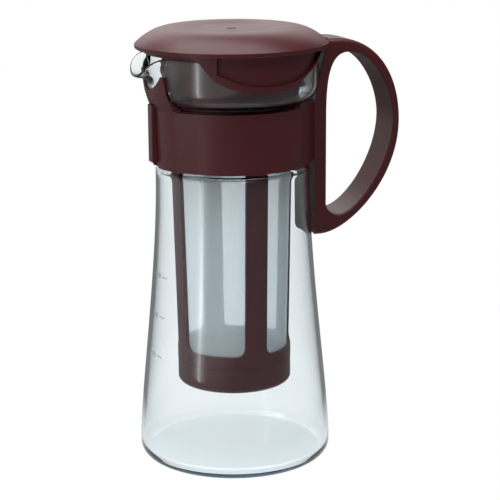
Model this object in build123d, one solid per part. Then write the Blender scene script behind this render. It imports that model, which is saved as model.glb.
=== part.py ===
from build123d import *
import os
from math import acos, atan2, copysign, cos, degrees, hypot, pi, radians, sin, tan

# Cold brew coffee pot. Millimetres, Z up from the table.
# The handle points to +X, the pouring spout to -X, and the axis of the glass is Z.

# Glass carafe
base_radius = 48.5          # widest radius of the body, just above its foot
base_corner = 6.0           # rounding from the flat bottom into the wall
floor_corner = 4.0          # rounding inside, from the floor into the wall
lower_pull = 24.0           # how far the foot holds the wall upright
upper_pull = 46.0           # how far the waist holds the wall upright
shoulder_height = 148.6     # height where the body steps in to the neck
shoulder_rise = 2.0
neck_radius = 34.0          # outside of the narrow neck under the band
shoulder_step = 4.3         # from the neck out to the body just below it
bowl_step = 8.4             # from the neck out to the pouring bowl above the band
bowl_rise = 4.0             # rise of the bowl's floor from the neck outwards
bowl_height = 25.2          # from the top of the neck to the rim
bowl_straight = 0.3         # upright stretch above the rounding of the bowl's floor
glass_wall = 2.0
floor_thickness = 3.0
shoulder_round = 2.6
neck_round = 1.2
throat_round = 1.5
bowl_round = 9.0

# Pouring spout: a broad beak drawn out of the bowl's rim
spout_reach = 7.9           # how far the middle of the beak's rim stands out from the bowl
spout_drop = 8.3            # how far the rim falls at the beak
spout_half_angle = 27.3     # where the beak's plan runs out into the bowl
spout_fullness = 2.38       # power that makes the plan broad
drop_half_angle = 23.5      # where the fall of the rim runs out
drop_fullness = 1.38
spout_tilt = 68.0           # turn of the wall outwards at the beak
spout_step = 4.0            # angle between the sections of the beak
wall_pull = 0.9             # share of its height over which the beak's wall stays upright
lip_pull = 0.3              # share of its length over which the wall meets the rim straight
spout_thinning = 0.2        # how much thinner the drawn-out beak is on each side

# Printed scale on the glass
mark_thickness = 0.15
mark_angle = 194.0          # direction of the marks, counted from the handle
mark_length = 4.4
mark_line = 0.6
mark_heights = (57.0, 77.0, 97.0)

# Band round the neck
band_height = 29.0
band_seat = 0.4             # clearance of the band over the glass shoulder
band_gap = 0.25             # clearance round the neck
bowl_gap = 0.5              # clearance of the band under the bowl
nose_foot_flare = 1.3       # how far the band's two ends stand out, at their foot
nose_top_flare = 2.2
nose_half_angle = 28.0
slit = 0.5                  # slit where the two ends of the band meet
ear_height = 17.0           # ears that rise beside the spout
ear_sector = 90.0           # part of the circle that they are cut from
ear_tip_angle = 23.5        # outer side of an ear's tip, from the middle of the spout
ear_foot_angle = 26.6       # outer side of its foot
ear_foot_round = 1.2
ear_root = 3.1              # thickness of an ear where it leaves the band
ear_gap = 0.4               # clearance of the ears round the bowl
cradle_height = 9.3         # lowest point between the two ears, above the band
cradle_angle = 20.9         # inner side of an ear's tip
ear_outer = (               # outside of the ears: past the bowl's wall, above the band
    (-0.4, 4.3),
    (0.7, 8.5),
    (1.2, 12.7),
    (1.6, ear_height),
)

# Clip that slides up over the two ends of the band and holds them together
clip_proud = 1.9            # how far the clip's face stands out from the band
clip_half_width = 3.3
clip_plate = 1.0
clip_side = 0.6
clip_lip = 0.9
clip_rise = 2.7             # foot of the clip above the foot of the band
clip_stop = 2.2             # thickness of its closed lower end
clip_height = 28.0
clip_gap = 0.3
rail_half_neck = 1.2
rail_head = 1.0

# Handle, one moulding with the band
handle_width = 22.0
column_gap = 2.9            # from the band's outside out to the column's hollow inner face
column_depth = 4.8          # from there to its outer face
grip_reach = 40.2           # from the column to the outermost point of the grip
grip_rise = 16.5            # height of that point above the foot of the band
head_length = 4.4           # flat top of the head, past the column
loop_corner = 6.5           # rounding between the column and the foot of the loop
loop_head_length = 11.5     # highest point of the opening, past the column
foot_thickness = 9.7
head_thickness = 7.1
grip_thickness = 3.9
foot_drop = 39.0            # foot of the handle below the band
head_rise = 5.0             # top of the handle above the rim
outer_round = 2.6
inner_round = 1.0
back_pulls = (15.8, 30.4)   # how far the lower back of the grip holds its directions
crest_pulls = (21.4, 25.6)
palm_pulls = (11.3, 22.5)   # the same for the opening, from its lowest point to the grip
arch_pulls = (14.1, 14.8)   # from its highest point to the grip
throat_pulls = (10.7, 15.4) # from its highest point back to the column
corner_pull = 0.55          # share of a corner's radius that makes it round
palm_rise = 1.2             # innermost point of the palm above the outermost of the back
column_flat_drop = 32.0     # top of the column's flat face below the top of the opening
lid_clearance = 0.5         # gap between the handle's head and the lid's edge
bowl_clearance = 0.7

# Lid
lid_overhang = 5.1          # how far the lid's edge stands out past the bowl
lid_edge = 2.0
lid_bevel = 0.4
lid_lift = 2.3              # underside of the lid's edge above the rim
lid_crown = 8.1             # crown of the lid above its edge
lid_wall = 2.0
crown_border = 18.0         # width of the sloping border, from the edge in to the crown
brow_border = 5.5           # where that border turns down, in from the edge
brow_drop = 3.7             # how far it has fallen there
edge_steepness = 1.0        # fall over run of the border at the lid's edge
dish_bank = 14.0            # width of the soft slope from the crown down into the dish
dish_depth = 1.4
gate_radius = 2.4           # small round recess in the middle
gate_depth = 0.25
seat_width = 1.9            # how far the lid's seat reaches in over the rim
seat_haunch = 1.6           # height of the slope from the seat to the cover
seat_gap = 0.3              # clearance of the lid over the rim
apron_gap = 0.5             # clearance of the apron round the bowl
apron_wall = 2.0
apron_flare = 1.1           # how much further out the apron stands at its top
recess_wall = 1.0           # wall that stays behind the finger recess
plug_gap = 0.9              # clearance of the plug ring in the strainer's collar
plug_wall = 1.6
plug_depth = 6.2            # how far the plug ring reaches below the rim
apron_edge = (              # lower edge: along X, and down from the lid's edge
    (-32.5, 0.0),
    (-27.0, 3.9),
    (-22.4, 10.2),
    (-11.0, 15.7),
    (4.0, 17.3),
    (16.0, 15.4),
    (27.0, 9.2),
    (38.5, 0.0),
)
recess_edge = (             # ledge at the foot of the finger recess, drawn the same way
    (-21.2, 8.0),
    (-17.0, 9.8),
    (-8.4, 13.1),
    (4.0, 14.1),
    (17.6, 12.7),
    (27.0, 8.6),
    (36.0, 0.0),
)

# Strainer
collar_lap = 1.0            # how far the collar's foot reaches out past the neck's bore
collar_flare = 1.5          # how much wider the collar is at its top
collar_wall = 1.6
collar_step = 0.9           # height of the slope inside the collar's foot
collar_drop = 0.8           # top of the collar below the rim
throat_gap = 0.6            # clearance of the strainer in the neck
strainer_taper = 2.7        # how much smaller its radius is at the foot of the windows
strainer_wall = 1.8
seat_height = 2.05          # foot of the collar above the neck
throat_length = 10.95       # closed stretch below the collar
window_height = 112.5
lower_ring = 6.4
seam_land = 0.9             # level stretch inside, above the seam
seam_slope = 1.0            # height of the slope that follows it
rib_width = 11.0
rib_turn = 4.0              # turn of the ribs from the handle's plane
window_round = 4.0
mesh_wall = 0.4
mesh_gap = 0.05
mesh_tuck = 3.5             # how far the mesh reaches behind the rings
pour_notch_width = 9.0
pour_notch_height = 4.6
pour_notch_sill = 0.6       # inner end of the notch's floor, in from the strainer's outside
pour_notch_turns = (150.0, 180.0, 210.0)
arrow_width = 3.0           # small arrow moulded into the collar
arrow_height = 2.2
arrow_depth = 0.5
arrow_drop = 15.6

# Base cap of the strainer, held by a bayonet
cap_gap = 0.3
cap_inset = 0.1             # how far its outside stands back from the strainer's
cap_height = 12.3
cap_wall = 1.7
cap_floor = 1.8
cap_round = 2.5
cap_border = 4.5            # solid border of the floor round its windows
cap_bar = 4.0
spigot_length = 7.1
spigot_wall = 1.6
lug_height = 2.0
lug_reach = 1.0
lug_angle = 10.0
lug_drop = 3.1              # top of the lugs below the seam
cap_turn = 35.0             # turn from locked to open
groove_slack = 1.5          # clearance of a lug in its groove, on each side
lug_count = 2

# Radii that follow
waist_radius = neck_radius + shoulder_step
bowl_radius = neck_radius + bowl_step
neck_bore = neck_radius - glass_wall
rim_middle = bowl_radius - glass_wall / 2
band_radius = waist_radius
band_bore = neck_radius + band_gap
nose_foot_radius = band_radius + nose_foot_flare
nose_top_radius = band_radius + nose_top_flare
clip_face = nose_top_radius + clip_proud
rail_reach = clip_face - clip_plate - clip_gap
lip_outer = rail_reach - rail_head - clip_gap
pocket_floor = lip_outer - clip_lip - clip_gap
column_inner = band_radius + column_gap
column_outer = column_inner + column_depth
handle_reach = column_outer + grip_reach
lid_radius = bowl_radius + lid_overhang
crown_radius = lid_radius - crown_border
dish_radius = crown_radius - dish_bank
seat_inner = bowl_radius - seat_width
apron_inner = bowl_radius + apron_gap
apron_outer = apron_inner + apron_wall
apron_top_radius = apron_outer + apron_flare
collar_foot_radius = neck_bore + collar_lap
collar_top_radius = collar_foot_radius + collar_flare
plug_radius = collar_top_radius - collar_wall - plug_gap
strainer_top_radius = neck_bore - throat_gap
strainer_foot_radius = strainer_top_radius - strainer_taper
cap_inner = strainer_foot_radius - cap_wall
cap_window_radius = cap_inner - cap_border
spigot_radius = cap_inner - cap_gap

# Slopes that follow
shoulder_slope = degrees(atan2(shoulder_rise, shoulder_step))
bowl_slope = degrees(atan2(bowl_rise, bowl_step))

# Heights that follow
band_bottom = shoulder_height + shoulder_rise + band_seat
band_top = band_bottom + band_height
bowl_floor = band_top + bowl_gap
bowl_bend = bowl_round * tan(radians(45 - bowl_slope / 2))
bowl_wall_foot = bowl_floor + bowl_rise + bowl_bend + bowl_straight
rim_height = bowl_floor + bowl_height
handle_foot = band_bottom - foot_drop
handle_head = rim_height + head_rise
grip_height = band_bottom + grip_rise
loop_foot = handle_foot + foot_thickness
loop_head = handle_head - head_thickness
edge_height = rim_height + lid_lift
lid_top = edge_height + lid_edge + lid_crown
collar_top = rim_height - collar_drop
collar_foot = bowl_floor + seat_height
throat_top = collar_foot - collar_foot_radius + strainer_top_radius
window_top = throat_top - throat_length
window_bottom = window_top - window_height
seam_height = window_bottom - lower_ring
cap_top = seam_height - cap_gap
cap_bottom = cap_top - cap_height
clip_foot = band_bottom + clip_rise
clip_top = clip_foot + clip_height

reach = 100.0               # length of cutting tools, past every surface


def outline(*points):
    """Flat face inside straight lines through the points."""
    return make_face(Polyline(*points, close=True))


def turned(face, arc=360.0, start=0.0):
    """Solid swept by a face drawn in radius and height, round Z from the start angle."""
    return Rot(Z=start) * revolve(Plane.XZ * face, Axis.Z, arc)


def block(x, y, z):
    """Box between the low and high values of each axis."""
    size = [high - low for low, high in (x, y, z)]
    middle = [(low + high) / 2 for low, high in (x, y, z)]
    return Pos(*middle) * Box(*size)


def on_circle(radius, angle):
    """Point at this radius and angle in degrees."""
    return (radius * cos(radians(angle)), radius * sin(radians(angle)))


def glass_skin(inset, floor, corner):
    """Solid inside a skin that lies inset millimetres inside the outside of the glass."""
    foot = base_radius - inset
    waist = waist_radius - inset
    neck = neck_radius - inset
    bowl = bowl_radius - inset
    shoulder_shift = inset * tan(radians(45 - shoulder_slope / 2))
    bowl_shift = inset * tan(radians(45 - bowl_slope / 2))
    wall_foot = floor + corner
    wall_top = shoulder_height - 2 * shoulder_round
    bottom = Line((0, floor), (foot - corner, floor))
    heel = CenterArc((foot - corner, wall_foot), corner, 270, 90)
    wall = Bezier(
        (foot, wall_foot),
        (foot, wall_foot + lower_pull),
        (waist, wall_top - upper_pull),
        (waist, wall_top),
    )
    upper = FilletPolyline(
        (waist, wall_top),
        (waist, shoulder_height - shoulder_shift),
        (neck, shoulder_height + shoulder_rise - shoulder_shift),
        (neck, bowl_floor + bowl_shift),
        (bowl, bowl_floor + bowl_rise + bowl_shift),
        (bowl, bowl_wall_foot),
        radius=[
            shoulder_round - inset,
            neck_round + inset,
            throat_round + inset,
            bowl_round - inset,
        ],
    )
    closing = Polyline((bowl, bowl_wall_foot), (0, bowl_wall_foot), (0, floor))
    return turned(make_face([bottom, heel, wall, upper, closing]))


def bump(angle, half_angle, fullness):
    """Share from 1 in the middle of the beak to 0 at this half angle."""
    share = min(abs(angle) / half_angle, 1.0)
    return cos(pi / 2 * share**fullness) ** 2


def rim_section(angle, inset):
    """Section of the upper wall and round rim at this angle from the beak's middle."""
    share = bump(angle, spout_half_angle, spout_fullness)
    half_wall = glass_wall / 2 - inset
    along = rim_middle + spout_reach * share
    up = rim_height - glass_wall / 2 - spout_drop * bump(angle, drop_half_angle, drop_fullness)
    tilt = radians(90 - spout_tilt * share)
    ahead = (cos(tilt), sin(tilt))
    inward = (-sin(tilt), cos(tilt))
    outer = (along - half_wall * inward[0], up - half_wall * inward[1])
    inner = (along + half_wall * inward[0], up + half_wall * inward[1])
    crest = (along + half_wall * ahead[0], up + half_wall * ahead[1])
    outer_foot = (rim_middle + half_wall, bowl_wall_foot)
    inner_foot = (rim_middle - half_wall, bowl_wall_foot)
    curves = [wall_curve(outer_foot, outer, ahead), wall_curve(inner_foot, inner, ahead)]
    return make_face([*curves, ThreePointArc(outer, crest, inner), Line(outer_foot, inner_foot)])


def wall_curve(foot, top, ahead):
    """Curve that leaves the foot upright and meets the top in the direction ahead."""
    upright = wall_pull * (top[1] - foot[1])
    straight = lip_pull * hypot(top[0] - foot[0], top[1] - foot[1])
    return Bezier(
        foot,
        (foot[0], foot[1] + upright),
        (top[0] - straight * ahead[0], top[1] - straight * ahead[1]),
        top,
    )


def make_glass_carafe():
    """Borosilicate body, neck and bowl with the pouring spout."""
    body = glass_skin(0, 0, base_corner) - glass_skin(glass_wall, floor_thickness, floor_corner)
    steps = round(spout_half_angle / spout_step)
    half = steps * spout_step
    bowl = turned(rim_section(180, 0), 360 - 2 * half, half - 180)
    sections = []
    for step in range(-steps, steps + 1):
        section = rim_section(spout_step * step, spout_thinning)
        sections.append(Rot(Z=180 + spout_step * step) * (Plane.XZ * section))
    return body + bowl + loft(sections)


def make_scale_marks():
    """Three printed lines of the volume scale, lying on the glass."""
    outside = glass_skin(0, 0, base_corner)
    print_layer = glass_skin(-mark_thickness, 0, base_corner) - outside
    marks = []
    for height in mark_heights:
        window = block(
            (0, reach),
            (-mark_length / 2, mark_length / 2),
            (height - mark_line / 2, height + mark_line / 2),
        )
        marks.append((Rot(Z=mark_angle) * window) & print_layer)
    return Compound(children=[solid for mark in marks for solid in mark.solids()])


def flare(radius, half_angle):
    """Face with an arc at this radius that runs out tangent into the band on both sides."""
    run_out = half_angle + degrees(acos(band_radius / radius))
    low = on_circle(radius, -half_angle)
    high = on_circle(radius, half_angle)
    sides = Polyline(high, on_circle(band_radius, run_out), (0, 0))
    sides += Polyline((0, 0), on_circle(band_radius, -run_out), low)
    return make_face([ThreePointArc(low, (radius, 0), high), sides])


def make_band_ring():
    """Ring round the neck, wider at its two ends and flared into the handle."""
    column_half_angle = degrees(atan2(handle_width / 2, column_inner))
    ring = extrude(Circle(band_radius) + flare(column_inner, column_half_angle), band_height)
    nose = [
        flare(nose_foot_radius, nose_half_angle),
        Pos(0, 0, band_height) * flare(nose_top_radius, nose_half_angle),
    ]
    ring += Rot(Z=180) * loft(nose)
    return Pos(0, 0, band_bottom) * (ring - Cylinder(band_bore, 4 * band_height))


def make_ears():
    """Two ears that rise from the band and cradle the spout."""
    outer = [(nose_top_radius, band_top)]
    outer += [(bowl_radius + past, band_top + above) for past, above in ear_outer]
    root = nose_top_radius - ear_root
    inner = Polyline(outer[-1], (root, band_top + ear_height), (root, band_top), outer[0])
    ears = turned(make_face([Spline(*outer), inner]), ear_sector, 180 - ear_sector / 2)
    ears -= glass_skin(-ear_gap, 0, base_corner)
    ears -= Pos(0, 0, bowl_wall_foot) * extrude(Circle(bowl_radius + ear_gap), ear_height)
    tip = on_circle(bowl_radius, ear_tip_angle)[1]
    heel = on_circle(bowl_radius, ear_foot_angle)[1]
    foot = heel + 2 * ear_foot_round
    side = FilletPolyline((tip, ear_height), (heel, 0), (foot, 0), radius=ear_foot_round)
    half = make_face([side, Polyline((foot, 0), (0, 0), (0, ear_height), side @ 0)])
    width = Plane.YZ * (half + mirror(half, Plane.YZ))
    ears &= Pos(0, 0, band_top) * extrude(width, -reach)
    depth = ear_height - cradle_height
    half_width = on_circle(bowl_radius, cradle_angle)[1]
    radius = (half_width**2 + depth**2) / (2 * depth)
    cradle = Pos(-reach / 2, 0, band_top + cradle_height + radius) * (
        Rot(Y=90) * Cylinder(radius, reach)
    )
    return ears - cradle


def make_rail():
    """T-shaped rail on the ends of the band, which the clip slides over."""
    height = (clip_foot + clip_stop + clip_gap, clip_top - clip_gap)
    half_head = clip_half_width - clip_side - clip_gap
    behind = rail_reach - rail_head
    neck = block((-behind - rail_head / 2, -pocket_floor), (-rail_half_neck, rail_half_neck), height)
    head = block((-rail_reach, -behind), (-half_head, half_head), height)
    return neck + head


def swing(level_point, upright_point, pulls):
    """Curve that leaves one point level and reaches the other upright, held by its pulls."""
    along = copysign(pulls[0], upright_point[0] - level_point[0])
    up = copysign(pulls[1], level_point[1] - upright_point[1])
    return Bezier(
        level_point,
        (level_point[0] + along, level_point[1]),
        (upright_point[0], upright_point[1] + up),
        upright_point,
    )


def handle_section():
    """Side view of the handle without its finger opening."""
    toe = (column_outer - outer_round, handle_foot)
    grip = (handle_reach, grip_height)
    crest = (column_outer + head_length, handle_head)
    hidden = Polyline(crest, (neck_radius, handle_head), (neck_radius, handle_foot), toe)
    return make_face([swing(toe, grip, back_pulls), swing(crest, grip, crest_pulls), hidden])


def handle_loop():
    """Side view of the finger opening."""
    low = (column_outer + loop_corner, loop_foot)
    high = (column_outer + loop_head_length, loop_head)
    inner = (handle_reach - grip_thickness, grip_height + palm_rise)
    column_low = (column_outer, loop_foot + loop_corner)
    column_high = (column_outer, loop_head - column_flat_drop)
    corner = corner_pull * loop_corner
    return make_face(
        [
            swing(low, inner, palm_pulls),
            swing(high, inner, arch_pulls),
            swing(high, column_high, throat_pulls),
            Line(column_high, column_low),
            swing(low, column_low, (corner, corner)),
        ]
    )


def make_core():
    """Space inside the band and along the column, round the glass and the lid's edge."""
    low = handle_foot - outer_round
    high = handle_head + outer_round
    beside_lid = lid_radius + lid_clearance
    beside_rim = apron_top_radius - bowl_clearance / 2
    return turned(
        outline(
            (0, low),
            (column_inner, low),
            (column_inner, band_bottom),
            (band_bore, band_bottom),
            (band_bore, band_top),
            (column_inner, band_top),
            (bowl_radius + bowl_clearance, bowl_wall_foot - bowl_clearance),
            (beside_rim, rim_height - bowl_clearance),
            (beside_lid, edge_height - bowl_clearance),
            (beside_lid, high),
            (0, high),
        )
    )


def make_handle_strap():
    """Column, loop and head of the handle, with its rounded edges."""
    half = handle_width / 2
    strap = extrude(Plane.XZ * handle_section(), half, both=True)
    strap = fillet(strap.faces().filter_by(Axis.Y).edges(), outer_round)
    strap -= extrude(Plane.XZ * handle_loop(), half, both=True)
    sides = strap.faces().filter_by(Axis.Y)
    wires = [wire for side in sides for wire in side.inner_wires()]
    strap = fillet([edge for wire in wires for edge in wire.edges()], inner_round)
    return strap - make_core()


def make_handle_band():
    """Handle with its band and ears, one plastic moulding."""
    body = make_band_ring() + make_ears() + make_handle_strap()
    half_pocket = clip_half_width + clip_gap
    pocket = block(
        (-reach, -pocket_floor),
        (-half_pocket, half_pocket),
        (0, clip_top + clip_gap),
    )
    body = body - pocket + make_rail()
    return body - block((-reach, 0), (-slit / 2, slit / 2), (0, rim_height))


def make_band_clip():
    """Clip with a C-shaped section and a closed lower end."""
    lip_inner = lip_outer - clip_lip
    width = (-clip_half_width, clip_half_width)
    body = block((-clip_face, -lip_inner), width, (clip_foot, clip_top))
    body = fillet(body.edges().filter_by(Axis.Z).group_by(Axis.X)[0], clip_side)
    inside = (clip_foot + clip_stop, clip_top + clip_gap)
    half_inside = clip_half_width - clip_side
    half_mouth = rail_half_neck + clip_gap
    plate = clip_face - clip_plate
    body -= block((-plate, -lip_outer), (-half_inside, half_inside), inside)
    body -= block((-plate, 0), (-half_mouth, half_mouth), inside)
    return body


def make_lid():
    """Crowned cover with its apron, finger recess and the ring that plugs the strainer."""
    border = Spline(
        (crown_radius, lid_top),
        (lid_radius - brow_border, lid_top - brow_drop),
        (lid_radius, edge_height + lid_edge),
        tangents=[(1, 0), (1, -edge_steepness)],
    )
    dish = lid_top - dish_depth
    halfway = (crown_radius + dish_radius) / 2
    bank = Bezier((crown_radius, lid_top), (halfway, lid_top), (halfway, dish), (dish_radius, dish))
    under = dish - lid_wall
    seat = rim_height + seat_gap
    cover = make_face(
        [
            border,
            bank,
            Polyline(
                (lid_radius, edge_height + lid_edge),
                (lid_radius, edge_height + lid_bevel),
                (lid_radius - lid_bevel, edge_height),
                (apron_inner, edge_height),
                (apron_inner, seat),
                (seat_inner, seat),
                (seat_inner, under - seat_haunch),
                (crown_radius + lid_wall, under),
                (0, under),
                (0, dish - gate_depth),
                (gate_radius, dish - gate_depth),
                (gate_radius, dish),
                (dish_radius, dish),
            ),
        ]
    )
    plug_foot = rim_height - plug_depth
    ring = Circle(plug_radius) - Circle(plug_radius - plug_wall)
    plug = Pos(0, 0, plug_foot) * extrude(ring, under + lid_wall / 2 - plug_foot)
    return turned(cover) + plug + make_apron()


def edge_points(edge):
    """Points of an edge given along X and down from the lid's edge."""
    return [(along, edge_height - drop) for along, drop in edge]


def make_apron():
    """Skirt that hangs on both sides of the bowl, with its finger recess."""
    lower = edge_points(apron_edge)
    low = min(height for _, height in lower) - apron_wall
    high = edge_height + lid_edge / 2
    ring = turned(
        outline(
            (apron_inner, low),
            (apron_outer, low),
            (apron_top_radius, high),
            (apron_inner, high),
        )
    )
    above = Polyline(lower[-1], (lower[-1][0], high), (lower[0][0], high), lower[0])
    shape = make_face([Spline(*lower), above])
    apron = ring & extrude(Plane.XZ * shape, reach, both=True)
    ledge = edge_points(recess_edge)
    above = Polyline(ledge[-1], (ledge[0][0], edge_height), ledge[0])
    scoop = extrude(Plane.XZ * make_face([Spline(*ledge), above]), reach, both=True)
    scoop -= Cylinder(apron_inner + recess_wall, 8 * reach)
    return apron - scoop


def strainer_radius(height):
    """Outside radius of the tapered strainer at this height."""
    share = (height - window_bottom) / (throat_top - window_bottom)
    return strainer_foot_radius + share * (strainer_top_radius - strainer_foot_radius)


def make_strainer_frame():
    """Collar, four ribs, lower ring and bayonet spigot, one plastic moulding."""
    spigot_foot = seam_height - spigot_length
    spigot_bore = spigot_radius - spigot_wall
    wall = turned(
        outline(
            (collar_top_radius, collar_top),
            (collar_foot_radius, collar_foot),
            (strainer_top_radius, throat_top),
            (strainer_foot_radius, window_bottom),
            (strainer_foot_radius, seam_height),
            (spigot_radius, seam_height),
            (spigot_radius, spigot_foot),
            (spigot_bore, spigot_foot),
            (spigot_bore, seam_height + seam_land),
            (strainer_foot_radius - strainer_wall, seam_height + seam_land + seam_slope),
            (strainer_foot_radius - strainer_wall, window_bottom),
            (strainer_top_radius - strainer_wall, throat_top),
            (collar_foot_radius - collar_wall, collar_foot + collar_step),
            (collar_top_radius - collar_wall, collar_top),
        )
    )
    half_rib = rib_width / 2
    window = block((half_rib, reach), (half_rib, reach), (window_bottom, window_top))
    window = fillet(window.edges().filter_by(Axis.Z, reverse=True), window_round)
    for turn in range(4):
        wall -= Rot(Z=rib_turn + 90 * turn) * window
    notch = block(
        (strainer_top_radius - pour_notch_sill, reach),
        (-pour_notch_width / 2, pour_notch_width / 2),
        (throat_top, collar_foot + pour_notch_height),
    )
    for turn in pour_notch_turns:
        wall -= Rot(Z=turn) * notch
    return wall - make_arrow() + make_lugs()


def make_arrow():
    """Shallow triangle cut into the front of the collar."""
    top = rim_height - arrow_drop
    half = arrow_width / 2
    face = outline((-half, top), (half, top), (0, top - arrow_height))
    share = (top - collar_foot) / (collar_top - collar_foot)
    radius = collar_foot_radius + share * (collar_top_radius - collar_foot_radius)
    cut = Pos(0, -radius + arrow_depth, 0) * extrude(Plane.XZ * face, reach)
    return Rot(Z=-rib_turn) * cut


def make_lugs():
    """Bayonet lugs on the spigot."""
    top = seam_height - lug_drop
    root = spigot_radius - spigot_wall / 2
    face = outline(
        (root, top - lug_height),
        (spigot_radius + lug_reach, top - lug_height),
        (spigot_radius + lug_reach, top),
        (root, top),
    )
    lugs = None
    for count in range(lug_count):
        lug = turned(face, lug_angle, 360 / lug_count * count - lug_angle / 2)
        lugs = lug if lugs is None else lugs + lug
    return lugs


def make_side_mesh():
    """Fine mesh sleeve behind the ribs, as a thin closed wall."""
    low = window_bottom - mesh_tuck
    high = window_top + mesh_tuck
    inset = strainer_wall + mesh_gap
    outer_low = strainer_foot_radius - inset
    outer_high = strainer_radius(high) - inset
    return turned(
        outline(
            (outer_low, low),
            (outer_low, window_bottom),
            (outer_high, high),
            (outer_high - mesh_wall, high),
            (outer_low - mesh_wall, window_bottom),
            (outer_low - mesh_wall, low),
        )
    )


def make_base_cap():
    """Cup that closes the strainer's foot, with bayonet grooves and a barred floor."""
    outer = strainer_foot_radius - cap_inset
    floor_top = cap_bottom + cap_floor
    cap = Pos(0, 0, cap_bottom) * extrude(Circle(outer), cap_height)
    cap = fillet(cap.edges().group_by(Axis.Z)[0], cap_round)
    cap -= Pos(0, 0, floor_top) * extrude(Circle(cap_inner), cap_height)
    opening = Circle(cap_window_radius)
    opening -= Rectangle(2 * reach, cap_bar) + Rectangle(cap_bar, 2 * reach)
    opening = fillet(opening.vertices(), cap_bar / 4)
    cap -= extrude(opening, floor_top + cap_floor)
    return cap - make_grooves()


def make_grooves():
    """L-shaped grooves in the cap's wall that the lugs turn in."""
    low = seam_height - lug_drop - lug_height - cap_gap
    high = seam_height - lug_drop + cap_gap
    inner = spigot_radius
    outer = spigot_radius + lug_reach + cap_gap
    mouth = cap_top + cap_gap
    run = outline((inner, low), (outer, low), (outer, high), (inner, high))
    entry = outline((inner, low), (outer, low), (outer, mouth), (inner, mouth))
    half_lug = lug_angle / 2 + groove_slack
    grooves = None
    for count in range(lug_count):
        middle = 360 / lug_count * count
        groove = turned(run, cap_turn + 2 * half_lug, middle - cap_turn - half_lug)
        groove += turned(entry, 2 * half_lug, middle - cap_turn - half_lug)
        grooves = groove if grooves is None else grooves + groove
    return grooves


def make_base_mesh():
    """Mesh disc that lies on the cap's bars."""
    disc = extrude(Circle(cap_inner - mesh_gap), mesh_wall)
    return Pos(0, 0, cap_bottom + cap_floor) * disc


makers = {
    "glass_carafe": make_glass_carafe,
    "scale_marks": make_scale_marks,
    "handle_band": make_handle_band,
    "band_clip": make_band_clip,
    "lid": make_lid,
    "strainer_frame": make_strainer_frame,
    "side_mesh": make_side_mesh,
    "base_cap": make_base_cap,
    "base_mesh": make_base_mesh,
}

os.makedirs("parts", exist_ok=True)
for node, maker in makers.items():
    export_step(maker(), f"parts/{node}.step")
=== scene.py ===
from math import cos, radians, sin

import bmesh
import bpy
import numpy as np
from mathutils import Matrix, Vector


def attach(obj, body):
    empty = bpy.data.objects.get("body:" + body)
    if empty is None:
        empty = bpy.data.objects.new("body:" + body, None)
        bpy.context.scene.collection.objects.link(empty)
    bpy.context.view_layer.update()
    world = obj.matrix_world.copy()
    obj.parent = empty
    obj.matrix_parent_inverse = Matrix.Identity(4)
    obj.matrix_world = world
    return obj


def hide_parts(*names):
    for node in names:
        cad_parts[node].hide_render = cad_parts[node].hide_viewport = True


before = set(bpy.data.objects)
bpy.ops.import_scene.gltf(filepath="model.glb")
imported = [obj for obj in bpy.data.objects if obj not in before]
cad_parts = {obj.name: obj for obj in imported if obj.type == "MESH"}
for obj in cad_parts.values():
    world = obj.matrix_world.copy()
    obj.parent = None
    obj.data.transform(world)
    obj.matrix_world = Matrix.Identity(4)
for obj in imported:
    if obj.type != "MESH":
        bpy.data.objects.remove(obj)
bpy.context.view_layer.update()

MM = 0.001                   # in metres

# ---------------------------------------------------------------- glass, in millimetres

BASE_RADIUS = 48.5
WAIST_RADIUS = 38.3          # the body's narrowest, just below the shoulder
NECK_RADIUS = 34.0
BOWL_RADIUS = 42.4
GLASS_WALL = 2.0
FLOOR_THICKNESS = 3.0
BASE_CORNER = 6.0
FLOOR_CORNER = 4.0
FLOOR_RINGS = (0.05, 4.0, 12.0, 20.0, 28.0, 36.0)   # radii; one face fills the smallest
SHOULDER_HEIGHT = 149.7
SHOULDER_RISE = 0.9
BOWL_FLOOR = 180.5
BOWL_RISE = 4.0
BOWL_WALL_FOOT = 190.48
RIM_HEIGHT = 205.7
SHOULDER_ROUND = 2.6         # rounds of the outer skin, from the shoulder up
NECK_FOOT_ROUND = 1.2
NECK_TOP_ROUND = 1.5
BOWL_ROUND = 9.0
LEAST_SHOULDER_ROUND = 2.0   # of the inner skin
BODY_TOP = SHOULDER_HEIGHT - 2 * SHOULDER_ROUND
BODY_FOOT_PULL = 24.0        # upright handles of the body's long curve
BODY_TOP_PULL = 46.0

# The beak's angles are in degrees from its middle. A higher fullness makes it broader, with
# steeper sides.
BEAK_REACH = 7.9
BEAK_HALF_ANGLE = 27.3
BEAK_FULLNESS = 2.38
BEAK_DROP = 8.3
DROP_HALF_ANGLE = 23.5
DROP_FULLNESS = 1.38
BEAK_TILT = 68.0             # how far the rim leans out from upright
BEAK_THINNING = 0.2          # taken off each side of the wall
WALL_PULL = 0.9              # upright handle, as a share of the wall's height
LIP_PULL = 0.3               # handle at the rim, as a share of the wall's length

COLUMNS = 256                # points round the glass, and along the parts of its outline
HEEL_POINTS = 12
BODY_POINTS = 60
ROUND_POINTS = 11
UPPER_POINTS = 72
WALL_POINTS = 26
RIM_POINTS = 11

# ---------------------------------------------------------------- sleeve and print, in millimetres

SLEEVE_FOOT = 54.0
SLEEVE_TOP = 173.5
SLEEVE_END = 3.5             # height of the stretch at foot and top that has its own taper
SLEEVE_RADII = (26.7, 26.7, 29.15, 29.25)
SLEEVE_WALL = 0.12
SLEEVE_ROWS = 25
SLEEVE_COLUMNS = 180
SLEEVE_MIDDLE_RADIUS = 28.0  # sets the width of its UV
THREAD_PITCH = 0.6

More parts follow.
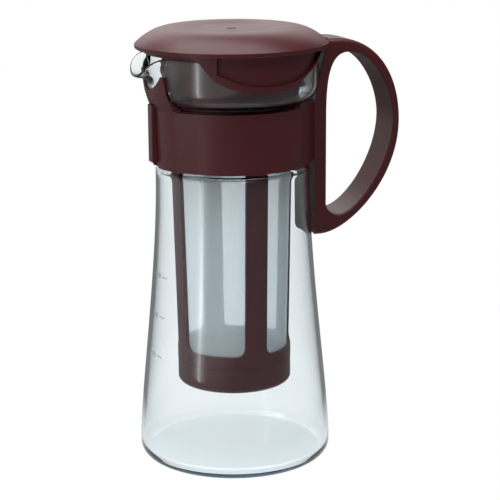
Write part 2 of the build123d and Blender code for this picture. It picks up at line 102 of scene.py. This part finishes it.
SCALE_NUMBERS = (("300", 57.0), ("400", 77.0), ("500", 97.0))
NUMBER_SIZE = 4.0
NUMBER_AZIMUTH = 189.0       # degrees, where each number ends beside its line
INK_HALF_THICKNESS = 0.08
INK_MIDDLE = 0.1             # from the glass to the middle of the ink
WELD_DISTANCE = 0.001        # joins the points that the print's faces share

# ---------------------------------------------------------------- looks, per millimetre

GRAIN_PER_MM = 2.6
CLOUDS_PER_MM = 0.028
SPECKS_PER_MM = 1.8

# ---------------------------------------------------------------- studio, in metres

ROOM_LIGHT = 0.09
FAR_WALL = (-0.3, 0.954, 0.0)
DIM_PAPER = 0.2              # strength of the floor in most reflections
FLOOR_HALF_WIDTH = 3.0
FLOOR_DROP = 0.0002          # keeps the floor clear of the glass

CAMERA_PLACE = (-0.2575, -0.7479, 0.3045)
TURN, PITCH, ROLL = radians(19.0), 0.247, -0.009    # in radians

# ---------------------------------------------------------------- colours and node trees


def linear(code):
    """Linear colour from an sRGB hex code."""
    parts = np.array([int(code[i : i + 2], 16) for i in (1, 3, 5)]) / 255
    out = np.where(parts <= 0.04045, parts / 12.92, ((parts + 0.055) / 1.055) ** 2.4)
    return (*out.tolist(), 1.0)


def add(tree, kind, settings=None, inputs=None):
    """Adds a node; inputs maps a socket to a constant or to the socket that feeds it."""
    node = tree.nodes.new(kind)
    for name, value in (settings or {}).items():
        setattr(node, name, value)
    for name, value in (inputs or {}).items():
        if isinstance(value, bpy.types.NodeSocket):
            tree.links.new(value, node.inputs[name])
        else:
            node.inputs[name].default_value = value
    return node


def new_material(name):
    """Empty node material and its tree and output node."""
    material = bpy.data.materials.new(name)
    material.use_nodes = True
    tree = material.node_tree
    tree.nodes.clear()
    return material, tree, add(tree, "ShaderNodeOutputMaterial")


def moulded_polypropylene():
    """Polypropylene injection moulded in a fine-sparked tool: a satin, slightly waxy
    dark brown-red that lifts to a dusty pink-grey where the light grazes it. Real grain is
    under 0.1 mm, and is drawn at 0.4 mm to show; its tone and gloss drift over 36 mm."""
    material, tree, out = new_material("moulded_polypropylene")
    place = add(tree, "ShaderNodeTexCoord")
    grain = add(
        tree,
        "ShaderNodeTexNoise",
        inputs={
            "Vector": place.outputs["Object"],
            "Scale": GRAIN_PER_MM / MM,
            "Detail": 2.0,
        },
    )
    cloud = add(
        tree,
        "ShaderNodeTexNoise",
        inputs={
            "Vector": place.outputs["Object"],
            "Scale": CLOUDS_PER_MM / MM,
            "Detail": 3.0,
        },
    )
    tone = add(
        tree,
        "ShaderNodeMix",
        {"data_type": "RGBA"},
        {
            "Factor": cloud.outputs["Fac"],
            "A": linear("#3B1014"),
            "B": linear("#411418"),
        },
    )
    rough = add(
        tree,
        "ShaderNodeMapRange",
        inputs={
            "Value": cloud.outputs["Fac"],
            "From Min": 0.3,
            "From Max": 0.7,
            "To Min": 0.36,
            "To Max": 0.42,
        },
    )
    bump = add(
        tree,
        "ShaderNodeBump",
        inputs={"Height": grain.outputs["Fac"], "Strength": 0.12, "Distance": 0.04 * MM},
    )
    shader = add(
        tree,
        "ShaderNodeBsdfPrincipled",
        inputs={
            "Base Color": tone.outputs[2],
            "Roughness": rough.outputs["Result"],
            "IOR": 1.49,
            "Specular IOR Level": 0.31,
            "Normal": bump.outputs["Normal"],
        },
    )
    tree.links.new(shader.outputs["BSDF"], out.inputs["Surface"])
    return material


def blown_glass():
    """Borosilicate glass blown in a mould and fire polished: clear, with a cool blue-grey
    cast that gathers where the sight line runs along the wall. It lets the lamps through
    to what stands inside it."""
    material, tree, out = new_material("blown_borosilicate_glass")
    shader = add(
        tree,
        "ShaderNodeBsdfPrincipled",
        inputs={
            "Base Color": linear("#FFFFFF"),
            "Roughness": 0.0,
            "IOR": 1.474,
            "Transmission Weight": 1.0,
        },
    )
    cast = add(
        tree, "ShaderNodeVolumeAbsorption", inputs={"Color": linear("#8FD2E4"), "Density": 46.0}
    )
    path = add(tree, "ShaderNodeLightPath")
    clear = add(tree, "ShaderNodeBsdfTransparent", inputs={"Color": linear("#F4F8F9")})
    lets_lamps_through = add(
        tree,
        "ShaderNodeMixShader",
        inputs={
            "Fac": path.outputs["Is Shadow Ray"],
            1: shader.outputs["BSDF"],
            2: clear.outputs["BSDF"],
        },
    )
    tree.links.new(lets_lamps_through.outputs["Shader"], out.inputs["Surface"])
    tree.links.new(cast.outputs["Volume"], out.inputs["Volume"])
    return material


def woven_polyester(name, coordinate, scale):
    """Fine polyester mesh: pale blue-grey and see-through, so that what lies behind it
    shows as a soft darker shape. The real threads are about 0.15 mm apart, and are drawn
    0.6 mm apart to show. The scale turns the coordinate to millimetres."""
    material, tree, out = new_material(name)
    place = add(tree, "ShaderNodeTexCoord")
    ruled = add(
        tree,
        "ShaderNodeMapping",
        inputs={"Vector": place.outputs[coordinate], "Scale": (scale, scale, scale)},
    )
    weave = add(
        tree,
        "ShaderNodeTexBrick",
        {"offset": 0.0, "squash": 1.0},
        {
            "Vector": ruled.outputs["Vector"],
            "Color1": (0, 0, 0, 1),
            "Color2": (0, 0, 0, 1),
            "Mortar": (1, 1, 1, 1),
            "Scale": 1.0,
            "Mortar Size": THREAD_PITCH / 5,
            "Mortar Smooth": 0.1,
            "Brick Width": THREAD_PITCH,
            "Row Height": THREAD_PITCH,
        },
    )
    thread = add(
        tree,
        "ShaderNodeBsdfPrincipled",
        inputs={"Base Color": linear("#EEF4F6"), "Roughness": 0.5, "IOR": 1.55},
    )
    glow = add(tree, "ShaderNodeBsdfTranslucent", inputs={"Color": linear("#EEF4F6")})
    cloth = add(
        tree,
        "ShaderNodeMixShader",
        inputs={"Fac": 0.5, 1: thread.outputs["BSDF"], 2: glow.outputs["BSDF"]},
    )
    clear = add(tree, "ShaderNodeBsdfTransparent")
    cover = add(
        tree,
        "ShaderNodeMapRange",
        inputs={
            "Value": weave.outputs["Color"],
            "From Min": 0.0,
            "From Max": 1.0,
            "To Min": 0.2,
            "To Max": 0.36,
        },
    )
    mix = add(
        tree,
        "ShaderNodeMixShader",
        inputs={
            "Fac": cover.outputs["Result"],
            1: clear.outputs["BSDF"],
            2: cloth.outputs["Shader"],
        },
    )
    tree.links.new(mix.outputs["Shader"], out.inputs["Surface"])
    return material


def screen_print():
    """Ceramic ink screen printed and fired on the glass: a thin matt grey, a little
    uneven where the ink lies thinner, in specks of about half a millimetre."""
    material, tree, out = new_material("fired_ceramic_ink")
    place = add(tree, "ShaderNodeTexCoord")
    grain = add(
        tree,
        "ShaderNodeTexNoise",
        inputs={
            "Vector": place.outputs["Object"],
            "Scale": SPECKS_PER_MM / MM,
            "Detail": 2.0,
        },
    )
    tone = add(
        tree,
        "ShaderNodeMix",
        {"data_type": "RGBA"},
        {
            "Factor": grain.outputs["Fac"],
            "A": linear("#838C91"),
            "B": linear("#A6AFB4"),
        },
    )
    shader = add(
        tree,
        "ShaderNodeBsdfPrincipled",
        inputs={"Base Color": tone.outputs[2], "Roughness": 0.7},
    )
    tree.links.new(shader.outputs["BSDF"], out.inputs["Surface"])
    return material


# ---------------------------------------------------------------- meshes


def new_piece(name, mesh, material):
    """Object at the origin that shows this mesh in this material."""
    mesh.materials.clear()
    mesh.materials.append(material)
    piece = bpy.data.objects.new(name, mesh)
    bpy.context.scene.collection.objects.link(piece)
    return piece


def coordinates(mesh):
    """The mesh's points, one row each."""
    points = np.empty(len(mesh.vertices) * 3)
    mesh.vertices.foreach_get("co", points)
    return points.reshape(-1, 3)


def turn_outward(mesh):
    """Flips every face of a closed surface whose volume comes out negative."""
    mesh.calc_loop_triangles()
    corners = np.empty(len(mesh.loop_triangles) * 3, np.int32)
    mesh.loop_triangles.foreach_get("vertices", corners)
    a, b, c = coordinates(mesh)[corners.reshape(-1, 3)].transpose(1, 0, 2)
    if np.einsum("ij,ij->i", a, np.cross(b, c)).sum() < 0:
        mesh.flip_normals()


def cell_corners(grid):
    """The four corners of every cell of a grid, in their order round the cell."""
    return np.stack([grid[:-1, :-1], grid[1:, :-1], grid[1:, 1:], grid[:-1, 1:]], 2)


def closed_mesh(name, rings, join_ends=False, cell=None):
    """Closed mesh of rings of points in millimetres.

    The last ring joins the first, or each of the two is filled by one face. The height and
    width of a cell in millimetres give the mesh a UV in millimetres. The bands between the
    rings point outwards, but a face that fills a ring points inwards.
    """
    rows, columns = rings.shape[:2]
    index = np.arange(rows * columns).reshape(rows, columns)
    if join_ends:
        ends = []
        index = np.vstack([index, index[:1]])
    else:
        ends = [index[0, ::-1].tolist(), index[-1].tolist()]
    index = np.hstack([index, index[:, :1]])
    faces = cell_corners(index).reshape(-1, 4).tolist()
    mesh = bpy.data.meshes.new(name)
    mesh.from_pydata(rings.reshape(-1, 3) * MM, [], faces + ends)
    if cell is not None:
        grid = np.indices(index.shape).transpose(1, 2, 0) * cell
        layer = mesh.uv_layers.new(name="UVMap")
        layer.data.foreach_set("uv", cell_corners(grid).ravel().astype(np.float32))
    mesh.polygons.foreach_set("use_smooth", np.ones(len(mesh.polygons), bool))
    turn_outward(mesh)
    return mesh


# ---------------------------------------------------------------- outlines


def bezier(points, t):
    """Cubic Bezier curve at every t: the usual cubic weights of its four points."""
    a, b, c, d = points
    return (1 - t) ** 3 * a + 3 * t * (1 - t) ** 2 * b + 3 * t**2 * (1 - t) * c + t**3 * d


def arc(centre, radius, start, end, count):
    """Points of a circular arc from one angle to another, in degrees."""
    t = np.radians(np.linspace(start, end, count))
    return np.stack([centre[0] + radius * np.cos(t), centre[1] + radius * np.sin(t)], -1)


def rounded(corners, radii, count):
    """Polyline with its inner corners rounded by arcs of these radii.

    An arc's centre lies on the corner's bisector, at its radius over the sine of half the
    corner's angle, and the arc sweeps from one side to the other.
    """
    points = [np.asarray(p, float) for p in corners]
    out = [points[0][None]]
    for before, here, after, radius in zip(points, points[1:], points[2:], radii):
        back = (before - here) / np.linalg.norm(before - here)
        on = (after - here) / np.linalg.norm(after - here)
        half = np.arccos(np.clip(back @ on, -1, 1)) / 2
        middle = back + on
        centre = here + middle / np.linalg.norm(middle) * radius / np.sin(half)
        first = here + back * radius / np.tan(half) - centre
        last = here + on * radius / np.tan(half) - centre
        start = np.arctan2(first[1], first[0])
        sweep = np.arctan2(first[0] * last[1] - first[1] * last[0], first @ last)
        t = start + sweep * np.linspace(0, 1, count)
        out.append(centre + radius * np.stack([np.cos(t), np.sin(t)], -1))
    out.append(points[-1][None])
    return np.vstack(out)


def spread(points, count):
    """The same polyline with evenly spaced points."""
    steps = np.linalg.norm(np.diff(points, axis=0), axis=1)
    length = np.concatenate([[0], np.cumsum(steps)])
    at = np.linspace(0, length[-1], count)
    return np.stack([np.interp(at, length, points[:, k]) for k in (0, 1)], -1)


# ---------------------------------------------------------------- glass and its print


def glass_profile(inset, floor, corner):
    """Radius and height of one skin of the glass, from its middle up to the bowl's wall.

    A flat bottom, an arc at the heel, one Bezier curve up the body, and a rounded polyline
    over shoulder, neck and bowl, all this inset inside the outer skin.
    """
    shoulder_slope = np.arctan2(SHOULDER_RISE, WAIST_RADIUS - NECK_RADIUS)
    bowl_slope = np.arctan2(BOWL_RISE, BOWL_RADIUS - NECK_RADIUS)
    shoulder_shift = inset * np.tan(np.pi / 4 - shoulder_slope / 2)
    bowl_shift = inset * np.tan(np.pi / 4 - bowl_slope / 2)
    foot, waist = BASE_RADIUS - inset, WAIST_RADIUS - inset
    neck, bowl = NECK_RADIUS - inset, BOWL_RADIUS - inset
    heel_top = floor + corner
    bottom = [(radius, floor) for radius in FLOOR_RINGS]
    heel = arc((foot - corner, heel_top), corner, 270, 360, HEEL_POINTS)
    pulls = [
        (foot, heel_top),
        (foot, heel_top + BODY_FOOT_PULL),
        (waist, BODY_TOP - BODY_TOP_PULL),
        (waist, BODY_TOP),
    ]
    body = bezier(np.array(pulls), np.linspace(0, 1, BODY_POINTS)[:, None])
    corners = [
        (waist, BODY_TOP),
        (waist, SHOULDER_HEIGHT - shoulder_shift),
        (neck, SHOULDER_HEIGHT + SHOULDER_RISE - shoulder_shift),
        (neck, BOWL_FLOOR + bowl_shift),
        (bowl, BOWL_FLOOR + BOWL_RISE + bowl_shift),
        (bowl, BOWL_WALL_FOOT),
    ]
    rounds = [
        max(SHOULDER_ROUND - inset, LEAST_SHOULDER_ROUND),
        NECK_FOOT_ROUND + inset,
        NECK_TOP_ROUND + inset,
        BOWL_ROUND - inset,
    ]
    upper = rounded(corners, rounds, ROUND_POINTS)
    upper = np.vstack([upper[:1], spread(upper[1:], UPPER_POINTS)])
    return np.vstack([bottom, heel[:-1], body[:-1], upper[:-1]])


def bump(angle, half_angle, fullness):
    """Share from 1 at the beak's middle to 0 at the half angle: squared cosine of a power."""
    share = np.minimum(np.abs(angle) / half_angle, 1.0)
    return np.cos(np.pi / 2 * share**fullness) ** 2


def rim_line(angle):
    """Middle, half thickness, tilt and inward direction of the rim at every angle from the
    beak: the middle stands out and falls by two bumps, and the glass thins by the first.
    """
    share = bump(angle, BEAK_HALF_ANGLE, BEAK_FULLNESS)
    drop = bump(angle, DROP_HALF_ANGLE, DROP_FULLNESS)
    along = BOWL_RADIUS - GLASS_WALL / 2 + BEAK_REACH * share
    up = RIM_HEIGHT - GLASS_WALL / 2 - BEAK_DROP * drop
    half = GLASS_WALL / 2 - BEAK_THINNING * share
    tilt = np.radians(90 - BEAK_TILT * share)
    ahead = np.stack([np.cos(tilt), np.sin(tilt)], -1)
    inward = np.stack([-np.sin(tilt), np.cos(tilt)], -1)
    return np.stack([along, up], -1), half[:, None], ahead, inward


def upper_wall(angle, side):
    """Curve of one skin from the bowl's wall to the rim, for every angle from the beak: a
    cubic Bezier curve that starts upright and meets the rim at its tilt. The side is 1 for
    the outer skin and -1 for the inner one.
    """
    middle, half, ahead, inward = rim_line(angle)
    top = middle - side * half * inward
    foot = np.array([BOWL_RADIUS - GLASS_WALL / 2 * (1 - side), BOWL_WALL_FOOT])
    foot = np.broadcast_to(foot, top.shape)
    upright = WALL_PULL * (top[:, 1] - foot[:, 1])
    straight = LIP_PULL * np.linalg.norm(top - foot, axis=1)
    second = foot + np.stack([np.zeros_like(upright), upright], -1)
    third = top - straight[:, None] * ahead
    return bezier((foot, second, third, top), np.linspace(0, 1, WALL_POINTS)[:, None, None])


def make_glass(material):
    """The carafe: outer skin, round rim and inner skin as one closed surface.

    Below the bowl's wall the profile is turned about the axis; above it the wall follows
    the beak's curve for each angle.
    """
    turn = np.linspace(0, 2 * np.pi, COLUMNS, endpoint=False)
    from_beak = np.degrees((turn + np.pi) % (2 * np.pi) - np.pi)
    outer = glass_profile(0, 0, BASE_CORNER)
    inner = glass_profile(GLASS_WALL, FLOOR_THICKNESS, FLOOR_CORNER)
    middle, half, ahead, inward = rim_line(from_beak)
    t = np.linspace(-np.pi / 2, np.pi / 2, RIM_POINTS)[1:-1, None, None]
    rim = middle + half * (np.cos(t) * ahead + np.sin(t) * inward)
    low_out = np.broadcast_to(outer[:, None], (len(outer), COLUMNS, 2))
    low_in = np.broadcast_to(inner[:, None], (len(inner), COLUMNS, 2))
    wall_out = upper_wall(from_beak, 1)
    wall_in = upper_wall(from_beak, -1)
    skin = np.concatenate([low_out, wall_out, rim, wall_in[::-1], low_in[::-1]])
    x = -skin[..., 0] * np.cos(turn)
    y = skin[..., 0] * np.sin(turn)
    mesh = closed_mesh("carafe_glass", np.stack([x, y, skin[..., 1]], -1))
    return new_piece("carafe_glass", mesh, material)


def printed_numbers(material):
    """Plain numbers beside the scale's lines: flat text whose width is laid round the glass
    as an angle, its height up the wall, and its thickness outwards from it."""
    outer = glass_profile(0, 0, BASE_CORNER)
    wall = outer[(outer[:, 1] > BASE_CORNER) & (outer[:, 1] < BODY_TOP)]
    whole = bmesh.new()
    for text, height in SCALE_NUMBERS:
        curve = bpy.data.curves.new("number", "FONT")
        curve.body = text
        curve.size = NUMBER_SIZE
        curve.extrude = INK_HALF_THICKNESS
        curve.resolution_u = 4
        curve.align_x = "RIGHT"
        curve.align_y = "CENTER"
        flat = bpy.data.meshes.new_from_object(bpy.data.objects.new("number", curve))
        across, up, out = coordinates(flat).T
        radius = np.interp(height + up, wall[:, 1], wall[:, 0])
        angle = np.radians(NUMBER_AZIMUTH) + across / radius.mean()
        radius = radius + INK_MIDDLE + out
        placed = np.stack([radius * np.cos(angle), radius * np.sin(angle), height + up], -1)
        flat.vertices.foreach_set("co", (placed * MM).ravel())
        whole.from_mesh(flat)
    bmesh.ops.remove_doubles(whole, verts=whole.verts, dist=WELD_DISTANCE * MM)
    bmesh.ops.recalc_face_normals(whole, faces=whole.faces)
    mesh = bpy.data.meshes.new("scale_numbers")
    whole.to_mesh(mesh)
    whole.free()
    return new_piece("scale_numbers", mesh, material)


# ---------------------------------------------------------------- mesh sleeve


def make_sleeve(material):
    """Woven sleeve: a thin closed wall turned about the axis. Its radius is even at the
    foot, then follows the ribs' taper, a little faster at the top. Its UV is in millimetres
    up and round."""
    heights = np.linspace(SLEEVE_FOOT, SLEEVE_TOP, SLEEVE_ROWS)
    bends = [SLEEVE_FOOT, SLEEVE_FOOT + SLEEVE_END, SLEEVE_TOP - SLEEVE_END, SLEEVE_TOP]
    outer = np.stack([np.interp(heights, bends, SLEEVE_RADII), heights], -1)
    inner = outer - (SLEEVE_WALL, 0)
    rows = np.vstack([outer, inner[::-1]])
    turn = np.linspace(0, 2 * np.pi, SLEEVE_COLUMNS, endpoint=False)
    x = rows[:, :1] * np.cos(turn)
    y = rows[:, :1] * np.sin(turn)
    z = np.broadcast_to(rows[:, 1:], x.shape)
    cell = (heights[1] - heights[0], 2 * np.pi * SLEEVE_MIDDLE_RADIUS / SLEEVE_COLUMNS)
    mesh = closed_mesh("sleeve_mesh", np.stack([x, y, z], -1), join_ends=True, cell=cell)
    return new_piece("sleeve_mesh", mesh, material)


# ---------------------------------------------------------------- pieces


def dress(node, material):
    """Gives a CAD node this material."""
    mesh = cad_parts[node].data
    mesh.materials.clear()
    mesh.materials.append(material)


plastic = moulded_polypropylene()
glass = blown_glass()
sleeve_cloth = woven_polyester("woven_polyester_sleeve", "UV", 1.0)
disc_cloth = woven_polyester("woven_polyester_disc", "Object", 1 / MM)
ink = screen_print()

carafe = make_glass(glass)
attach(carafe, "carafe")
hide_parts("glass_carafe")

numbers = printed_numbers(ink)
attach(numbers, "carafe")

for name in ("handle_band", "band_clip", "lid", "strainer_frame", "base_cap"):
    dress(name, plastic)
dress("scale_marks", ink)

sleeve = make_sleeve(sleeve_cloth)
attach(sleeve, "strainer")
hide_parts("side_mesh")
dress("base_mesh", disc_cloth)

# ---------------------------------------------------------------- floor and room


def backdrop(tree, mirrored):
    """Strength of the white paper as the eye meets it, straight on or through the glass: 1,
    and `mirrored` in a reflection. The second value is 0 for rays that left a matt surface.
    """
    path = add(tree, "ShaderNodeLightPath")
    glanced = add(
        tree,
        "ShaderNodeMath",
        {"operation": "GREATER_THAN"},
        {0: path.outputs["Glossy Depth"], 1: 0.5},
    )
    strength = add(
        tree,
        "ShaderNodeMix",
        {"data_type": "FLOAT"},
        {"Factor": glanced.outputs["Value"], "A": 1.0, "B": mirrored},
    )
    through = add(
        tree,
        "ShaderNodeMath",
        {"operation": "MAXIMUM"},
        {0: path.outputs["Is Camera Ray"], 1: path.outputs["Is Transmission Ray"]},
    )
    either = add(
        tree,
        "ShaderNodeMath",
        {"operation": "MAXIMUM"},
        {0: through.outputs["Value"], 1: path.outputs["Is Glossy Ray"]},
    )
    unscattered = add(
        tree,
        "ShaderNodeMath",
        {"operation": "LESS_THAN"},
        {0: path.outputs["Diffuse Depth"], 1: 0.5},
    )
    seen = add(
        tree,
        "ShaderNodeMath",
        {"operation": "MULTIPLY"},
        {0: either.outputs["Value"], 1: unscattered.outputs["Value"]},
    )
    return strength.outputs[0], seen.outputs["Value"]


def white_paper():
    """Matt white paper that shows as white, with a faint shadow near the object only. A
    reflection shows painted light on it, to the left, where three lamps are, and under the glass."""
    material, tree, out = new_material("white_paper")
    place = add(tree, "ShaderNodeTexCoord")
    axes = add(tree, "ShaderNodeSeparateXYZ", inputs={"Vector": place.outputs["Object"]})
    far = add(tree, "ShaderNodeVectorMath", {"operation": "LENGTH"}, {0: place.outputs["Object"]})
    # painted light: in reflections the paper shows brighter to the left, where the lamps are
    left = add(
        tree,
        "ShaderNodeMapRange",
        inputs={
            "Value": axes.outputs["X"],
            "From Min": -0.4,
            "From Max": -0.15,
            "To Min": 0.6,
            "To Max": DIM_PAPER,
        },
    )
    # painted light: in reflections the paper shows brighter under the glass
    under = add(
        tree,
        "ShaderNodeMapRange",
        inputs={
            "Value": far.outputs["Value"],
            "From Min": 0.06,
            "From Max": 0.12,
            "To Min": 0.9,
            "To Max": DIM_PAPER,
        },
    )
    mirrored = add(
        tree,
        "ShaderNodeMath",
        {"operation": "MAXIMUM"},
        {0: left.outputs["Result"], 1: under.outputs["Result"]},
    )
    strength, seen = backdrop(tree, mirrored.outputs["Value"])
    fade = add(
        tree,
        "ShaderNodeMapRange",
        inputs={
            "Value": far.outputs["Value"],
            "From Min": 0.08,
            "From Max": 0.35,
            "To Min": 0.96,
            "To Max": 1.0,
        },
    )
    share = add(
        tree, "ShaderNodeMath", {"operation": "MULTIPLY"}, {0: seen, 1: fade.outputs["Result"]}
    )
    matt = add(tree, "ShaderNodeBsdfDiffuse", inputs={"Color": linear("#F4F4F4")})
    white = add(
        tree, "ShaderNodeEmission", inputs={"Color": linear("#FFFFFF"), "Strength": strength}
    )
    shade = add(
        tree,
        "ShaderNodeMixShader",
        inputs={
            "Fac": share.outputs["Value"],
            1: matt.outputs["BSDF"],
            2: white.outputs["Emission"],
        },
    )
    tree.links.new(shade.outputs["Shader"], out.inputs["Surface"])
    return material


def paper_floor():
    """One large sheet of white paper that the pot stands on."""
    half = FLOOR_HALF_WIDTH
    corners = [(-half, -half, 0), (half, -half, 0), (half, half, 0), (-half, half, 0)]
    mesh = bpy.data.meshes.new("floor")
    mesh.from_pydata(corners, [], [(0, 1, 2, 3)])
    floor = new_piece("floor", mesh, white_paper())
    floor.location.z = -FLOOR_DROP
    return floor


def studio():
    """Soft dim room with white paper on its far wall, which shows in reflections."""
    world = bpy.data.worlds.new("studio")
    bpy.context.scene.world = world
    world.use_nodes = True
    tree = world.node_tree
    tree.nodes.clear()
    place = add(tree, "ShaderNodeTexCoord")
    along = add(
        tree,
        "ShaderNodeVectorMath",
        {"operation": "DOT_PRODUCT"},
        {0: place.outputs["Generated"], 1: FAR_WALL},
    )
    paper_wall = add(
        tree,
        "ShaderNodeMapRange",
        {"interpolation_type": "SMOOTHSTEP"},
        {
            "Value": along.outputs["Value"],
            "From Min": 0.5,
            "From Max": 0.85,
            "To Min": 0.1,
            "To Max": 0.7,
        },
    )
    strength, seen = backdrop(tree, paper_wall.outputs["Result"])
    room = add(
        tree, "ShaderNodeBackground", inputs={"Color": linear("#FFFFFF"), "Strength": ROOM_LIGHT}
    )
    paper = add(
        tree, "ShaderNodeBackground", inputs={"Color": linear("#FFFFFF"), "Strength": strength}
    )
    choice = add(
        tree,
        "ShaderNodeMixShader",
        inputs={"Fac": seen, 1: room.outputs["Background"], 2: paper.outputs["Background"]},
    )
    add(tree, "ShaderNodeOutputWorld", inputs={"Surface": choice.outputs["Shader"]})


floor = paper_floor()
studio()

# ---------------------------------------------------------------- lamps


def soft_box(name, place, target, size, watts):
    """Area lamp of this width and height, turned towards the target and not seen itself by
    the camera."""
    lamp = bpy.data.lights.new(name, "AREA")
    lamp.shape = "RECTANGLE"
    lamp.size, lamp.size_y = size
    lamp.energy = watts
    item = bpy.data.objects.new(name, lamp)
    item.location = place
    direction = Vector(target) - Vector(place)
    item.rotation_euler = direction.to_track_quat("-Z", "Y").to_euler()
    item.visible_camera = False
    bpy.context.scene.collection.objects.link(item)


soft_box("top_box", (-0.12, -0.1, 1.0), (0, 0, 0.15), (1.4, 0.9), 22)
# The left boxes stand one before the other, so that their bright strip fades to its sides
soft_box("left_box_wide", (-0.345, -0.178, 0.19), (0, 0, 0.19), (0.13, 0.38), 0.05)
soft_box("left_box_middle", (-0.342, -0.176, 0.19), (0, 0, 0.19), (0.08, 0.38), 0.07)
soft_box("left_box_thin", (-0.339, -0.174, 0.19), (0, 0, 0.19), (0.03, 0.38), 0.08)
soft_box("back_box", (0.25, 0.75, 0.7), (0, 0, 0.2), (1.0, 0.6), 2.5)

# ---------------------------------------------------------------- camera


def make_camera():
    """Camera that looks along its turn and pitch, rolled a little about that line."""
    data = bpy.data.cameras.new("camera")
    data.sensor_width = 36.0
    data.lens = 116.5
    data.shift_x = 0.0333
    data.shift_y = 0.001
    data.clip_start = 0.05
    data.clip_end = 20.0
    camera = bpy.data.objects.new("camera", data)
    bpy.context.scene.collection.objects.link(camera)
    ahead = Vector((cos(PITCH) * sin(TURN), cos(PITCH) * cos(TURN), -sin(PITCH)))
    level = Vector((cos(TURN), -sin(TURN), 0.0))
    above = level.cross(ahead)
    right = cos(ROLL) * level + sin(ROLL) * above
    over = -sin(ROLL) * level + cos(ROLL) * above
    axes = Matrix((right, over, -ahead)).transposed()
    camera.matrix_world = Matrix.Translation(CAMERA_PLACE) @ axes.to_4x4()
    return camera


bpy.context.scene.camera = make_camera()
bpy.context.scene.view_settings.view_transform = "Standard"
